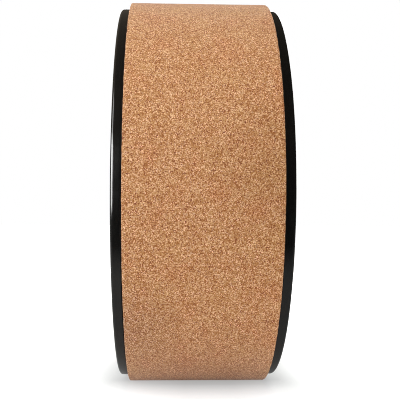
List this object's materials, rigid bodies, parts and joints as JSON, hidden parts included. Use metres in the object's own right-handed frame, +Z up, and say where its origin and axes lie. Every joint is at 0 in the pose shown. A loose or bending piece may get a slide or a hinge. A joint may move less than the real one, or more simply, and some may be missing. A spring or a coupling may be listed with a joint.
{
  "type": "yoga wheel",
  "caption": "Cork-covered yoga wheel: a wide hollow plastic hoop with a foam-backed cork tread between raised rims, for rolling, stretching and balance exercise.",
  "frame": {"origin": "centre of the wheel, on its axis and midway between its two rims", "axes": "+Y along the wheel's axis towards its right rim, +Z up, +X towards its front; it stands on its tread at -Z, and the butt joint in the cork is at the back, at -X"},
  "size_m": [0.325, 0.127, 0.325],
  "materials": {
    "core": "glossy black moulded plastic",
    "joining_hoop": "satin black moulded plastic, bonded in and hidden",
    "tape": "double-sided adhesive film, hidden",
    "foam": "matt black closed-cell foam",
    "cork": "fine-grained agglomerated cork, unsealed and matt"
  },
  "bodies": {
    "root": {"left_core_half": "core", "right_core_half": "core", "joining_hoop": "joining_hoop", "foam_bonding_tape": "tape", "foam_underlay": "foam", "cork_bonding_tape": "tape", "cork_seam_tape": "tape", "cork_tread": "cork"}
  },
  "joints": []
}
